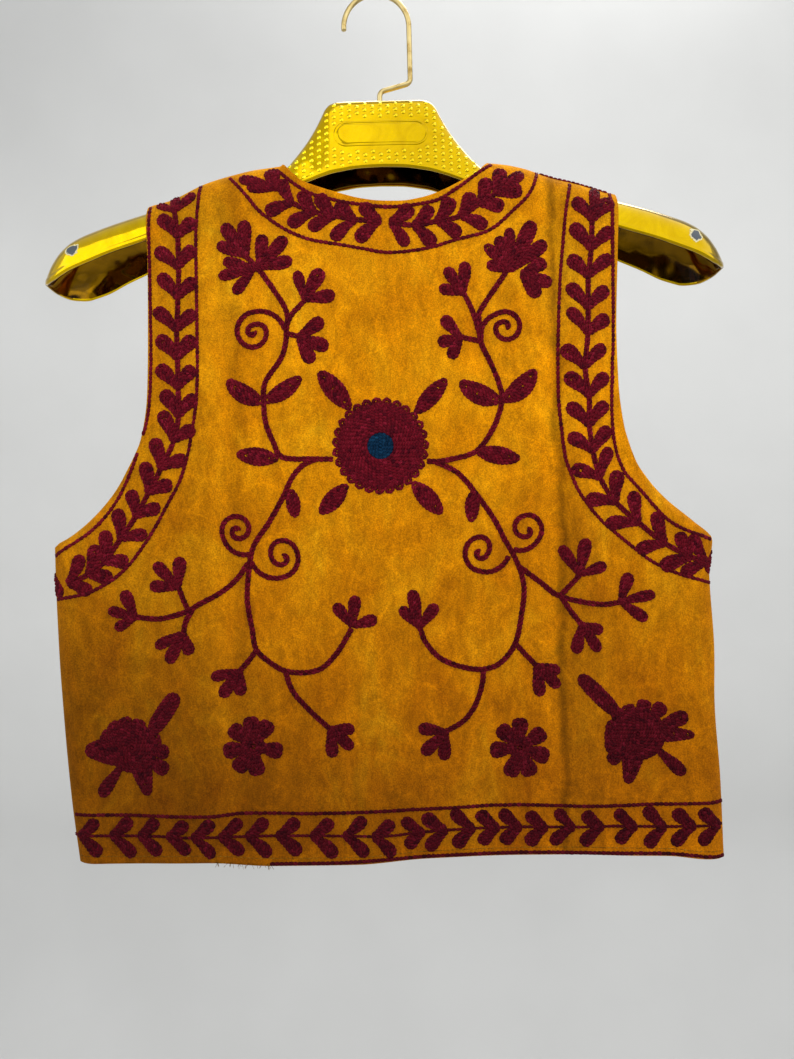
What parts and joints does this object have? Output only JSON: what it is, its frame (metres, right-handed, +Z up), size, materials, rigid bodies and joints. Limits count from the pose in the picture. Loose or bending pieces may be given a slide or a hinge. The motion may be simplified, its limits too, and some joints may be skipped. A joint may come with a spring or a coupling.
{
  "type": "embroidered waistcoat on a hanger",
  "caption": "Cropped sleeveless velvet waistcoat with flower and vine embroidery, open at the front, hung on a wide-shoulder hanger with a wire hook.",
  "frame": {"origin": "inside top of the hook's arc, where a rail or nail carries the hanger", "axes": "+Z up, -Y the waistcoat's back, +Y its two fronts, +X the wearer's right side"},
  "size_m": [0.463, 0.0609, 0.5752],
  "materials": {
    "mustard_velvet": "cotton velvet with a brushed nap",
    "maroon_thread": "twisted thread in chain stitch",
    "teal_thread": "twisted thread in chain stitch",
    "gold_plating": "vacuum-metallised gold, mirror bright, dimpled on the centre block",
    "gold_wire": "plated steel wire, satin"
  },
  "bodies": {
    "root": {"back": "mustard_velvet", "front_left": "mustard_velvet", "front_right": "mustard_velvet", "hanger_block": "gold_plating", "hanger_arm_left": "gold_plating", "hanger_arm_right": "gold_plating", "hook": "gold_wire"}
  },
  "joints": []
}
